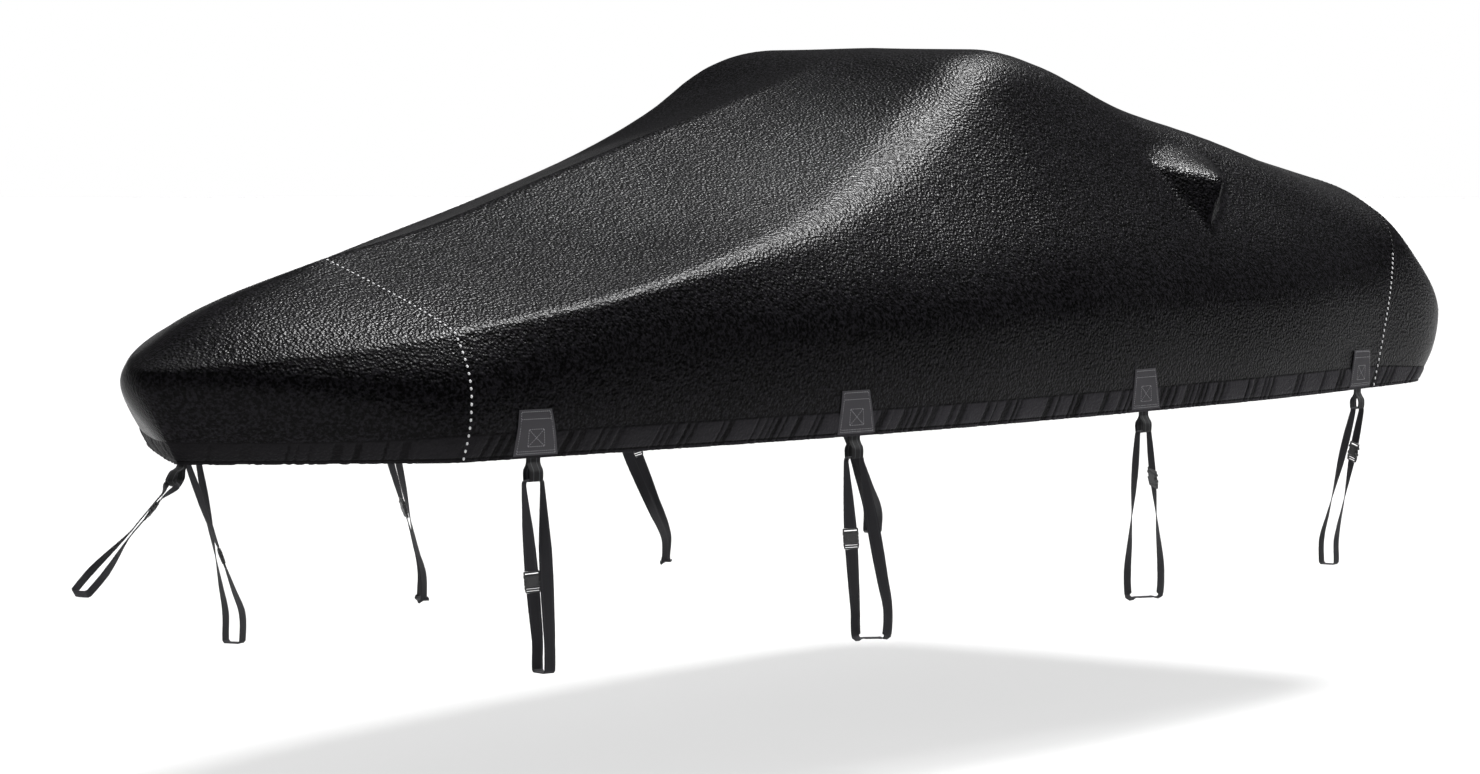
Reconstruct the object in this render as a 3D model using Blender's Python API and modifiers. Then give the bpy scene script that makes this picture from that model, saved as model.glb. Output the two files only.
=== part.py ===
"""Fitted boat cover: three cloth panels with a shirred hem, tabs, webbing loops and tie-down straps.

Blender axes: X runs from bow to stern, port is -Y, and Z is up. The origin lies under the highest point
of the cloth, where the windshield holds the cover up. The cover itself is drawn in hull measures: "aft"
is the distance behind the bow tip, "out" the distance from the centre plane, and "up" the height above
the hem. Port is drawn and starboard mirrors it.
"""
import math
from collections import namedtuple

import bmesh
import bpy
import numpy as np
from mathutils import Matrix, Vector

# Cloth and clearances, in metres
CLOTH = 0.0022
GAP = 0.0003
BOW_SEAM_GAP, STERN_SEAM_GAP = 0.0008, 0.0010
HELD_AFT = 3.25
HELD_UP = 1.080

# The levels of a section, from the hem up to the centre line, and how far each one's bend reaches
HEM, WIDE, GUNWALE, RIDGE, DECK, TOP = range(6)
BEND_REACH = (0.0, 0.16, 0.22, 0.15, 0.30, 0.0)

# The ridge is a sharp crease round the bow that opens into a soft bend by the windshield
CREASE_STATIONS, CREASE_REACHES = (0.0, 1.0, 1.2, 1.5), (0.035, 0.045, 0.06, 0.15)

# Sections from the front seam to the stern seam. "lean" is how far a section shifts aft per metre up; it
# grows from nothing at the hem to its full value at LEAN_HEIGHT.
LEAN_HEIGHT = 0.55
Section = namedtuple(
    "Section",
    "aft lean hem_out wide_out wide_up gun_out gun_up ridge_out ridge_up deck_out deck_up top_up",
)
SECTIONS = [
    Section(0.62, 0.20, 0.545, 0.568, 0.10, 0.552, 0.22, 0.478, 0.330, 0.30, 0.405, 0.505),
    Section(1.10, 0.10, 0.660, 0.690, 0.12, 0.680, 0.27, 0.627, 0.402, 0.35, 0.480, 0.584),
    Section(1.60, 0.05, 0.775, 0.805, 0.14, 0.790, 0.32, 0.688, 0.498, 0.36, 0.588, 0.703),
    Section(2.10, 0.00, 0.870, 0.900, 0.15, 0.885, 0.35, 0.680, 0.610, 0.33, 0.722, 0.816),
    Section(2.50, 0.00, 0.925, 0.955, 0.16, 0.935, 0.37, 0.600, 0.752, 0.30, 0.836, 0.912),
    Section(2.85, 0.00, 0.960, 0.985, 0.17, 0.960, 0.38, 0.530, 0.920, 0.27, 0.966, 1.000),
    Section(3.05, 0.00, 0.980, 1.005, 0.17, 0.980, 0.38, 0.505, 1.033, 0.25, 1.050, 1.055),
    Section(3.25, 0.00, 0.995, 1.020, 0.17, 0.990, 0.38, 0.490, 1.073, 0.25, 1.076, 1.080),
    Section(3.50, 0.00, 1.010, 1.030, 0.17, 0.998, 0.385, 0.500, 1.034, 0.25, 1.050, 1.055),
    Section(3.85, 0.05, 1.030, 1.045, 0.17, 1.005, 0.39, 0.560, 0.892, 0.28, 0.940, 0.957),
    Section(4.25, 0.20, 1.030, 1.045, 0.16, 1.010, 0.38, 0.690, 0.753, 0.35, 0.828, 0.850),
    Section(4.64, 0.74, 1.017, 1.020, 0.14, 0.980, 0.34, 0.893, 0.514, 0.56, 0.672, 0.700),
]

# The levels where the bow and the stern cross the centre plane, and how full each is in plan, towards
# the centre plane and towards the seam
End = namedtuple("End", "aft up full_centre full_seam")
STEM = [
    End(0.155, 0.000, 0.04, 0.06),
    End(0.052, 0.150, 0.18, 0.24),
    End(0.020, 0.205, 0.26, 0.30),
    End(0.036, 0.245, 0.30, 0.33),
    End(0.260, 0.385, 0.33, 0.35),
]
TRANSOM = [
    End(5.185, 0.000, 0.98, 1.06),
    End(5.350, 0.130, 0.98, 1.12),
    End(5.370, 0.230, 1.00, 1.24),
    End(5.280, 0.355, 0.72, 0.60),
    End(5.235, 0.550, 0.55, 0.50),
]

# The grid of each panel: wide columns up the cloth, each split into pleats in the hem band
BOW_COLUMNS, BOW_PLEATS = 8, 3
MAIN_COLUMNS, MAIN_PLEATS = 32, 4
STERN_COLUMNS, STERN_PLEATS = 12, 3
BODY_ROWS = 12
BEND_WEIGHT = 0.18
BAND_HEIGHT = 0.075
PLEAT_DEPTH = 0.0035
NEXT = 1e-9

# A cleat under the cloth lifts it into a small tent above each stern quarter, with a steep lower face
TENT_AFT, TENT_UP, TENT_LIFT = 3.95, 0.69, 0.080
TENT_REACH_AFT, TENT_REACH_UP, TENT_REACH_DOWN = 0.21, 0.16, 0.20

# Tabs sewn over the hem, a wide one under each side strap
TAB_AFTS = (0.849, 1.955, 3.250, 4.530)
TAB_FOOT, TAB_BROW, TAB_RISE = 0.146, 0.105, 0.122
TAB_LEAN = 0.026
TAB_START = 0.008
TAB_THICKNESS = 0.002
TAB_CELLS = 4
FLAT_MARGIN = 0.025

# Webbing loops sewn inside the hem: a flat double tail, then a loop that hangs open round its strap
WEB = 0.0018
LOOP_WIDTH, STEM_LOOP_WIDTH = 0.044, 0.032
LOOP_TAIL = 0.035
LOOP_SEAT_GAP = 0.0009
LOOP_DROP = 0.061
LOOP_HALF_OPEN = 0.0135
STEM_INSET = 0.0180
STEM_HANG = (-0.63, 0.0, -0.77)

# Straps: narrower where they pass through a loop, full width round the trailer's rail
STRAP = 0.0022
STRAP_NARROW, STRAP_WIDE = 0.018, 0.036
LEG_APART = 0.030
RAIL_TOP, RAIL_FOOT = -0.490, -0.572
RAIL_HALF = 0.026
SideStrap = namedtuple("SideStrap", "tab_aft rail_aft rail_out spread buckle_leg buckle_at")
SIDE_STRAPS = [
    SideStrap(TAB_AFTS[0], 0.955, 0.545, 0.000, -1, 0.62),
    SideStrap(TAB_AFTS[1], 2.080, 0.815, 0.038, -1, 0.52),
    SideStrap(TAB_AFTS[2], 3.410, 0.900, 0.050, 1, 0.32),
    SideStrap(TAB_AFTS[3], 4.583, 0.890, 0.000, 1, 0.32),
]
BuckleSize = namedtuple("BuckleSize", "width thickness latch socket")
SIDE_BUCKLE = BuckleSize(0.045, 0.011, 0.020, 0.042)
BOW_BUCKLE = BuckleSize(0.032, 0.009, 0.020, 0.042)

# The bow strap runs from the stem loop to the winch post and closes round it
BOW_WIDE = 0.022
BOW_FOOT = (-0.200, 0.0, -0.297)
POST_HALF, POST_DEPTH = 0.0265, 0.085
BOW_BUCKLE_FROM = 0.070
BOW_LEG_APART = 0.0036
BOW_EDGE_ON = (0.41, 0.76, -0.51)


def spline(knots, values, at):
    """A smooth curve through the rows of values, and its slope, by cubic pieces between the knots."""
    slopes = np.gradient(values, knots, axis=0, edge_order=1)
    i = int(np.clip(np.searchsorted(knots, at) - 1, 0, len(knots) - 2))
    step = knots[i + 1] - knots[i]
    t = (at - knots[i]) / step
    point = (
        (2 * t**3 - 3 * t**2 + 1) * values[i]
        + (t**3 - 2 * t**2 + t) * step * slopes[i]
        + (3 * t**2 - 2 * t**3) * values[i + 1]
        + (t**3 - t**2) * step * slopes[i + 1]
    )
    slope = (
        (6 * t**2 - 6 * t) * (values[i] - values[i + 1]) / step
        + (3 * t**2 - 4 * t + 1) * slopes[i]
        + (3 * t**2 - 2 * t) * slopes[i + 1]
    )
    return point, slope


def bezier(points, t):
    """The point at t of the Bezier curve with these control points."""
    points = np.asarray(points, float)
    while len(points) > 1:
        points = points[:-1] * (1 - t) + points[1:] * t
    return points[0]


def section_levels(section):
    """The six control points of one section, as aft, out and up."""
    outs_ups = [
        (section.hem_out, 0.0),
        (section.wide_out, section.wide_up),
        (section.gun_out, section.gun_up),
        (section.ridge_out, section.ridge_up),
        (section.deck_out, section.deck_up),
        (0.0, section.top_up),
    ]
    return [(section.aft + section.lean * up * math.sqrt(min(1.0, up / LEAN_HEIGHT)), out, up) for out, up in outs_ups]


KNOTS = np.array([section.aft for section in SECTIONS])
NET = np.array([section_levels(section) for section in SECTIONS])


def main_levels(aft):
    return spline(KNOTS, NET, aft)


def end_levels(seam, slope, ends, t):
    """Control points between a seam (t = 0) and the centre plane (t = 1), round the bow or the stern."""
    levels = []
    for start, direction, end in zip(seam, slope, ends):
        direction = direction / np.linalg.norm(direction)
        centre = np.array((end.aft, 0.0, end.up))
        along = direction * abs(end.aft - start[0]) * end.full_seam
        across = np.array((0.0, start[1] * end.full_centre, 0.0))
        levels.append(bezier((start, start + along, centre + across, centre), t))
    levels.append(seam[TOP])
    return np.array(levels)


def levels_at(station):
    """Control points at a station: 0 is the stem, 1 the front seam, 2 the stern seam, 3 the transom."""
    if station < 1:
        seam, slope = main_levels(KNOTS[0] - BOW_SEAM_GAP / 2)
        return end_levels(seam, -slope, STEM, 1 - station)
    if station <= 2:
        first, last = KNOTS[0] + BOW_SEAM_GAP / 2, KNOTS[-1] - STERN_SEAM_GAP / 2
        return main_levels(first + (last - first) * (station - 1))[0]
    seam, slope = main_levels(KNOTS[-1] + STERN_SEAM_GAP / 2)
    return end_levels(seam, slope, TRANSOM, station - 2)


def column_at(station, steps=8):
    """The line of the cloth from the hem up to the centre line: the levels joined, with round bends."""
    levels = levels_at(station)
    points = [levels[HEM]]
    for i in range(WIDE, TOP):
        reach = BEND_REACH[i] if i != RIDGE else np.interp(station, CREASE_STATIONS, CREASE_REACHES)
        before = levels[i - 1] - levels[i]
        after = levels[i + 1] - levels[i]
        enter = levels[i] + before * min(0.5, reach / np.linalg.norm(before))
        leave = levels[i] + after * min(0.5, reach / np.linalg.norm(after))
        points += [bezier((enter, levels[i], leave), t) for t in np.linspace(0, 1, steps)]
    points.append(levels[TOP])
    points = np.array(points)
    apart = np.linalg.norm(np.diff(points, axis=0), axis=1) > 1e-7
    return points[np.concatenate(([True], apart))]


def lengths_along(points):
    return np.concatenate(([0.0], np.cumsum(np.linalg.norm(np.diff(points, axis=0), axis=1))))


def pick(points, measure, wanted):
    """Points of a line where its measure takes the wanted values."""
    return np.stack([np.interp(wanted, measure, points[:, axis]) for axis in range(3)], axis=1)


def body_rows(column):
    """The rows above the hem band, closer together where the column bends."""
    lengths = lengths_along(column)
    along = np.diff(column, axis=0)
    along /= np.linalg.norm(along, axis=1)[:, None]
    turns = np.arccos(np.clip((along[:-1] * along[1:]).sum(axis=1), -1, 1))
    turned = np.concatenate(([0.0, 0.0], np.cumsum(turns)))
    measure = lengths + BEND_WEIGHT * turned
    first = np.interp(BAND_HEIGHT, lengths, measure)
    return pick(column, measure, np.linspace(first, measure[-1], BODY_ROWS + 1))[1:]


def unit(vector):
    return vector / np.linalg.norm(vector)


def surface_frame(station, climb):
    """A point of the outer face, the directions aft along the cloth and up it, and the outward normal."""
    small = 0.004
    columns = [column_at(station + shift) for shift in (0.0, -small, small)]
    heights = [climb, climb, climb]
    point, before, after = (
        pick(column, lengths_along(column), [height])[0] for column, height in zip(columns, heights)
    )
    above = unit(pick(columns[0], lengths_along(columns[0]), [climb + small])[0] - point)
    ahead = unit(after - before)
    return point, ahead, above, unit(np.cross(above, ahead))


STATIONS = np.linspace(0.0, 3.0, 601)
HEM_LENGTHS = lengths_along(np.array([levels_at(station)[HEM] for station in STATIONS]))


def station_at(length):
    """The station whose hem point lies this far along the hem from the stem."""
    return float(np.interp(length, HEM_LENGTHS, STATIONS))


def station_at_aft(aft):
    """The station of the main panel whose hem point lies this far behind the bow tip."""
    return 1 + (aft - KNOTS[0]) / (KNOTS[-1] - KNOTS[0])


def hem_length(station):
    return float(np.interp(station, STATIONS, HEM_LENGTHS))


def world(point, side=-1):
    """Hull measures to Blender axes: side -1 is port and 1 is starboard."""
    return Vector((point[0] - HELD_AFT, side * point[1], point[2] - HELD_UP))


def turned(vector, side=-1):
    """A direction in hull measures to Blender axes."""
    return Vector((vector[0], side * vector[1], vector[2]))


# ---- build

def clear_scene():
    for obj in list(bpy.data.objects):
        bpy.data.objects.remove(obj, do_unlink=True)


def material(name, colour, roughness, metallic=0.0):
    made = bpy.data.materials.new(name)
    made.use_nodes = True
    shader = made.node_tree.nodes["Principled BSDF"]
    shader.inputs["Base Color"].default_value = (*colour, 1.0)
    shader.inputs["Roughness"].default_value = roughness
    shader.inputs["Metallic"].default_value = metallic
    return made


def add_object(name, mesh, finish):
    mesh.materials.append(finish)
    obj = bpy.data.objects.new(name, mesh)
    COLLECTION.objects.link(obj)
    return obj


def mesh_from_faces(name, faces):
    """A mesh of the given faces, each a list of points; points that coincide are shared."""
    shell = bmesh.new()
    shared = {}
    for face in faces:
        corners = []
        for point in face:
            key = tuple(round(value, 6) for value in point)
            if key not in shared:
                shared[key] = shell.verts.new(point)
            if shared[key] not in corners:
                corners.append(shared[key])
        if len(corners) > 2:
            shell.faces.new(corners)
    mesh = bpy.data.meshes.new(name)
    shell.to_mesh(mesh)
    shell.free()
    mesh.shade_smooth()
    return mesh


def thicken(obj, thickness, offset):
    """Turns the open sheet into a solid: offset -1 is inward of it, 0 on both sides and 1 outward."""
    solidify = obj.modifiers.new("Cloth", "SOLIDIFY")
    solidify.thickness = thickness
    solidify.offset = offset
    solidify.use_even_offset = True


def under_tab(length):
    """Whether this place along the hem lies flat under a tab or against a webbing loop."""
    reach = TAB_FOOT / 2 + FLAT_MARGIN
    if length < STEM_LOOP_WIDTH:
        return True
    return any(abs(length - hem_length(station_at_aft(aft))) < reach for aft in TAB_AFTS)


def band_points(station, count, edge):
    """The three rows of the hem band at a fine column, pleated in and out."""
    points = pick(column_at(station), lengths_along(column_at(station)), (0.0, BAND_HEIGHT / 2, BAND_HEIGHT))
    if edge or under_tab(hem_length(station)):
        return points
    swell = 0.55 + 0.45 * math.sin(2.4 * count)
    normal = surface_frame(station, BAND_HEIGHT / 2)[3]
    shift = normal * PLEAT_DEPTH * swell * (1 if count % 2 else -1)
    return points + np.outer((0.8, 1.0, 0.0), shift)


def raised_rows(station):
    """The rows of the body above the band, lifted where the tent is."""
    rows = body_rows(column_at(station))
    lifts = np.array([tent_lift(row) for row in rows])
    return rows + np.outer(lifts, (0.1, 0.8, 0.6))


def tent_lift(point):
    """How far the cloth stands out at a point above the cleat."""
    above = (point[2] - TENT_UP) / (TENT_REACH_UP if point[2] > TENT_UP else TENT_REACH_DOWN)
    near = max(0.0, 1.0 - abs(point[0] - TENT_AFT) / TENT_REACH_AFT)
    return TENT_LIFT * near * max(0.0, 1.0 - abs(above))


def panel(name, first, last, columns, pleats, finish):
    """One cloth panel, port and starboard, between two stations."""
    cuts = np.linspace(hem_length(first), hem_length(last), columns * pleats + 1)
    fine = [station_at(length) for length in cuts]
    fine[0], fine[-1] = first, last
    ends = (0, len(fine) - 1)
    band = [band_points(station, count, count in ends) for count, station in enumerate(fine)]
    body = [raised_rows(station) for station in fine[::pleats]]
    faces = []
    for side in (-1, 1):
        for i in range(len(fine) - 1):
            for row in range(2):
                faces.append((side, [band[i][row], band[i + 1][row], band[i + 1][row + 1], band[i][row + 1]]))
        for i in range(columns):
            tops = [band[j][2] for j in range(i * pleats, (i + 1) * pleats + 1)]
            faces.append((side, tops + [body[i + 1][0], body[i][0]]))
            for row in range(BODY_ROWS - 1):
                corners = [body[i][row], body[i + 1][row], body[i + 1][row + 1], body[i][row + 1]]
                faces.append((side, corners))
    turned_out = [
        [world(point, side) for point in (corners if side < 0 else corners[::-1])] for side, corners in faces
    ]
    obj = add_object(name, mesh_from_faces(name, turned_out), finish)
    thicken(obj, CLOTH, -1.0)
    return obj


def tab(name, aft, side, finish):
    """A trapezoid patch that lies on the cloth over the hem."""
    centre = hem_length(station_at_aft(aft))
    grid = []
    for i in range(TAB_CELLS + 1):
        column = []
        for j in range(TAB_CELLS + 1):
            rise = j / TAB_CELLS
            width = TAB_FOOT + (TAB_BROW - TAB_FOOT) * rise
            station = station_at(centre + width * (i / TAB_CELLS - 0.5) - TAB_LEAN * rise)
            point, _, _, normal = surface_frame(station, TAB_START + TAB_RISE * rise)
            column.append(world(point + normal * GAP * 1.5, side))
        grid.append(column)
    faces = []
    for i in range(TAB_CELLS):
        for j in range(TAB_CELLS):
            corners = [grid[i][j], grid[i + 1][j], grid[i + 1][j + 1], grid[i][j + 1]]
            faces.append(corners if side < 0 else corners[::-1])
    obj = add_object(name, mesh_from_faces(name, faces), finish)
    thicken(obj, TAB_THICKNESS, 1.0)
    return obj


Stop = namedtuple("Stop", "centre across width")


def strip(name, stops, thickness, finish):
    """Webbing laid along its stops, each a centre, a direction across and a width."""
    edges = []
    for i, stop in enumerate(stops):
        along = (stops[min(i + 1, len(stops) - 1)].centre - stops[max(i - 1, 0)].centre).normalized()
        across = (stop.across - along * stop.across.dot(along)).normalized() * stop.width / 2
        edges.append((stop.centre - across, stop.centre + across))
    faces = [(before[0], before[1], after[1], after[0]) for before, after in zip(edges, edges[1:])]
    obj = add_object(name, mesh_from_faces(name, faces), finish)
    thicken(obj, thickness, 0.0)
    return obj


def leg(upper, lower, shares):
    """Stops on the straight run between two stops, turning and widening evenly."""
    return [
        Stop(
            upper.centre.lerp(lower.centre, share),
            upper.across.lerp(lower.across, share).normalized(),
            upper.width + (lower.width - upper.width) * min(1.0, share * 3),
        )
        for share in shares
    ]


Hang = namedtuple("Hang", "origin along rise down")


def side_hang(station, side):
    """Where a side loop leaves the hem: its middle, and the directions along the hem, up and down."""
    point, ahead, above, normal = surface_frame(station, 0.0)
    inward = turned(normal, side) * -(CLOTH + LOOP_SEAT_GAP + WEB + GAP / 2)
    along = turned(unit(np.array((ahead[0], ahead[1], 0.0))), side)
    return Hang(world(point, side) + inward, along, turned(above, side), Vector((0, 0, -1)))


def stem_hang():
    """Where the stem loop leaves the hem, a little behind the fold of the bow."""
    column = column_at(0.0)
    point, above = pick(column, lengths_along(column), (0.0, LOOP_TAIL))
    origin = world(point) + Vector((STEM_INSET, 0, 0))
    return Hang(origin, Vector((0, 1, 0)), turned(unit(above - point)), Vector(STEM_HANG).normalized())


def loop(name, hang, width, finish):
    """A webbing loop: two tails inside the hem that part below it and hang open round the strap."""
    apart = (WEB + GAP) / 2
    path = [(hang.origin + hang.rise * LOOP_TAIL, apart)]
    bend = [hang.origin + hang.rise * 0.008, hang.origin, hang.origin + hang.down * 0.012]
    for t in (0.0, 0.25, 0.5, 0.75, 1.0):
        path.append((Vector(bezier([tuple(point) for point in bend], t)), apart + 0.0005 * t))
    for drop, half in ((0.020, 0.005), (0.034, 1.0), (LOOP_DROP - 0.004, 1.0), (LOOP_DROP, 0.0)):
        half = {1.0: LOOP_HALF_OPEN, 0.0: LOOP_HALF_OPEN - 0.002}.get(half, half)
        path.append((hang.origin + hang.down * drop, half))
    there, back = [], []
    for i, (centre, half) in enumerate(path):
        ahead = (path[min(i + 1, len(path) - 1)][0] - path[max(i - 1, 0)][0]).normalized()
        aside = ahead.cross(hang.along).normalized() * half
        there.append(Stop(centre + aside, hang.along, width))
        back.append(Stop(centre - aside, hang.along, width))
    return strip(name, there + back[::-1], WEB, finish)


def loop_seat(hang):
    """The middle of a strap where it rests in the bottom of its loop."""
    return hang.origin + hang.down * (LOOP_DROP - WEB / 2 - GAP * 1.5 - STRAP / 2)


def buckle(name, upper_end, away, across, size, finish):
    """The two halves of a side-release buckle, from the strap's upper end on down its leg."""
    across = (across - away * across.dot(away)).normalized()
    turn = Matrix((across, away.cross(across), away)).transposed().to_4x4()
    start = GAP
    for half, length in (("socket", size.socket), ("latch", size.latch)):
        shell = bmesh.new()
        bmesh.ops.create_cube(shell, size=1.0)
        scale = Matrix.Diagonal((size.width, size.thickness, length, 1.0))
        bmesh.ops.transform(shell, matrix=scale, verts=shell.verts)
        mesh = bpy.data.meshes.new(name)
        shell.to_mesh(mesh)
        shell.free()
        obj = add_object(f"{name}_{half}", mesh, finish)
        obj.matrix_world = Matrix.Translation(upper_end + away * (start + length / 2)) @ turn
        start += length + GAP
        bevel = obj.modifiers.new("Edges", "BEVEL")
        bevel.width = 0.0025
        bevel.segments = 1


def buckle_length(size):
    return size.socket + size.latch + 3 * GAP


def side_strap(name, strap, side, hang, webbing, plastic):
    """A side strap: over its loop, down both legs and round the place of the trailer's rail."""
    seat = loop_seat(hang)
    out = hang.down.cross(hang.along).normalized()
    out *= 1 if out.y * side > 0 else -1
    hand = hang.along * -strap.buckle_leg

    def at_loop(aside, drop):
        return Stop(seat + hand * aside + hang.down * drop, out, STRAP_NARROW)

    def at_rail(share_out, share_along, level):
        place = world((strap.rail_aft, strap.rail_out, level), side)
        place += out * (RAIL_HALF * share_out * -strap.buckle_leg) + hand * (strap.spread * share_along)
        return Stop(place, hand, STRAP_WIDE)

    top = [at_loop(aside, drop) for aside, drop in ((-0.028, 0.003), (-0.023, 0.0), (0.023, 0.0), (0.028, 0.003))]
    other = at_loop(LEG_APART, 0.012), at_rail(1.0, 1.0, RAIL_TOP)
    buckled = at_loop(-LEG_APART, 0.012), at_rail(-1.0, -1.0, RAIL_TOP)
    bottom = [
        at_rail(1.0, 0.9, RAIL_FOOT + 0.006), at_rail(0.8, 0.72, RAIL_FOOT), at_rail(0.6, 0.54, RAIL_FOOT),
        at_rail(-0.6, -0.54, RAIL_FOOT), at_rail(-0.8, -0.72, RAIL_FOOT), at_rail(-1.0, -0.9, RAIL_FOOT + 0.006),
    ]
    length = (buckled[0].centre - buckled[1].centre).length
    reach = buckle_length(SIDE_BUCKLE) / length
    near, far = strap.buckle_at - reach / 2, strap.buckle_at + reach / 2
    stops = leg(*buckled, (near, near / 2, 0.0)) + top + leg(*other, (0.0, 0.2, 0.4, 0.6, 0.8, 1.0))
    stops += bottom + leg(*buckled, (1.0, (1 + far) / 2, far))
    strip(name, stops, STRAP, webbing)
    away = (buckled[1].centre - buckled[0].centre).normalized()
    middle = leg(*buckled, (strap.buckle_at,))[0]
    buckle(name + "_buckle", stops[0].centre, away, middle.across, SIDE_BUCKLE, plastic)


def bow_strap(name, hang, webbing, plastic):
    """The bow strap: over the stem loop, its legs close together and turned edge on, then round the post."""
    seat = loop_seat(hang)
    foot = world(BOW_FOOT)
    away = (foot - seat).normalized()
    reach = (foot - seat).length
    flat = away.cross(hang.along).normalized()
    edge = Vector(BOW_EDGE_ON)
    edge = (edge - away * edge.dot(away)).normalized()
    edge *= 1 if edge.dot(flat) > 0 else -1
    face = away.cross(edge)
    face *= 1 if face.y > 0 else -1
    across_loop = hang.down.cross(hang.along).normalized()
    across_loop *= 1 if across_loop.dot(flat) > 0 else -1

    def at_loop(aside, drop):
        return Stop(seat + hang.along * aside + hang.down * drop, across_loop, STRAP_NARROW)

    def close(hand, distance):
        return Stop(seat + away * distance + face * (BOW_LEG_APART * hand), edge, BOW_WIDE)

    def at_post(aside, distance):
        return Stop(seat + away * distance + hang.along * aside, flat, BOW_WIDE)

    behind, before = reach - POST_DEPTH, reach - 0.005
    buckle_to = BOW_BUCKLE_FROM + buckle_length(BOW_BUCKLE)
    stops = [close(-1, BOW_BUCKLE_FROM), close(-1, 0.050), at_loop(-0.020, 0.010)]
    stops += [at_loop(aside, drop) for aside, drop in ((-0.019, 0.003), (-0.0165, 0.0), (0.0165, 0.0), (0.019, 0.003))]
    stops += [at_loop(0.020, 0.010), close(1, 0.050), close(1, BOW_BUCKLE_FROM), close(1, buckle_to + 0.01)]
    stops += [close(1, 0.200), at_post(POST_HALF, behind), at_post(POST_HALF, before)]
    stops += [at_post(POST_HALF - 0.005, reach), at_post(0.005 - POST_HALF, reach)]
    stops += [at_post(-POST_HALF, before), at_post(-POST_HALF, behind)]
    stops += [close(-1, 0.200), close(-1, buckle_to + 0.01), close(-1, buckle_to)]
    strip(name, stops, STRAP, webbing)
    buckle(name + "_buckle", stops[0].centre, away, edge, BOW_BUCKLE, plastic)


def build():
    cloth = material("Coated_polyester", (0.020, 0.019, 0.021), 0.55)
    patch = material("Tab_cloth", (0.045, 0.043, 0.050), 0.75)
    tape = material("Loop_webbing", (0.010, 0.010, 0.011), 0.80)
    webbing = material("Strap_webbing", (0.030, 0.029, 0.033), 0.75)
    plastic = material("Buckle_plastic", (0.012, 0.012, 0.013), 0.40)

    panel("bow_panel", 0.0, 1.0 - NEXT, BOW_COLUMNS, BOW_PLEATS, cloth)
    panel("main_panel", 1.0, 2.0, MAIN_COLUMNS, MAIN_PLEATS, cloth)
    panel("stern_panel", 2.0 + NEXT, 3.0, STERN_COLUMNS, STERN_PLEATS, cloth)

    stem = stem_hang()
    loop("stem_loop", stem, STEM_LOOP_WIDTH, tape)
    bow_strap("bow_strap", stem, webbing, plastic)
    for side, hand in ((-1, "port"), (1, "starboard")):
        for number, strap in enumerate(SIDE_STRAPS, start=1):
            station = station_at_aft(strap.tab_aft)
            hang = side_hang(station, side)
            tab(f"tab_{hand}_{number}", strap.tab_aft, side, patch)
            loop(f"loop_{hand}_{number}", hang, LOOP_WIDTH, tape)
            side_strap(f"strap_{hand}_{number}", strap, side, hang, webbing, plastic)


clear_scene()
COLLECTION = bpy.data.collections.new("Boat_cover")
bpy.context.scene.collection.children.link(COLLECTION)
build()
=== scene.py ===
"""The boat cover's looks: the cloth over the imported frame, its hem, tabs, webbing, buckles and stitches."""
import math
import random
from collections import namedtuple

import bmesh
import bpy
import numpy as np
from mathutils import Matrix, Vector, noise
from numpy.linalg import norm

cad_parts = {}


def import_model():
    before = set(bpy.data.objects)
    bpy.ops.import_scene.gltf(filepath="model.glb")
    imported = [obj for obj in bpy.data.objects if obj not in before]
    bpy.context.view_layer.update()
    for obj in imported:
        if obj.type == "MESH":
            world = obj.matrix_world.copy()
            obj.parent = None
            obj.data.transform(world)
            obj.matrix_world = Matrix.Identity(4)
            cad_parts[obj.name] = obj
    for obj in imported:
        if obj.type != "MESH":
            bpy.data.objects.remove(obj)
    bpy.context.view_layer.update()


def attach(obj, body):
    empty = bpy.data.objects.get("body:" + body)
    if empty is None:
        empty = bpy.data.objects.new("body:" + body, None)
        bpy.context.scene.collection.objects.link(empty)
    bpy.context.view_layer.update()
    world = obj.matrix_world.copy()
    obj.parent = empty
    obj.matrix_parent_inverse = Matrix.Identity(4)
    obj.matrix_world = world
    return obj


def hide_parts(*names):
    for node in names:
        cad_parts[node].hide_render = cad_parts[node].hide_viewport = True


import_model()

# The cloth is drawn in hull measures, as in the solids: "aft" is the distance behind the bow tip, "out"
# the distance from the centre plane, and "up" the height above the hem. Port is -Y.
CLOTH = 0.0022
GAP = 0.0003
BOW_SEAM_GAP, STERN_SEAM_GAP = 0.0008, 0.0010
HELD_AFT = 3.25
HELD_UP = 1.080

# The levels of a section are its hem, widest, gunwale, ridge, deck and centre line; each bend has a reach
HEM, WIDE, RIDGE, TOP = 0, 1, 3, 5
BEND_REACH = (0.0, 0.16, 0.22, 0.15, 0.30, 0.0)

# The ridge is a sharp crease round the bow that opens into a soft bend by the windshield
CREASE_STATIONS, CREASE_REACHES = (0.0, 1.0, 1.2, 1.5), (0.014, 0.018, 0.032, 0.13)

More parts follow.
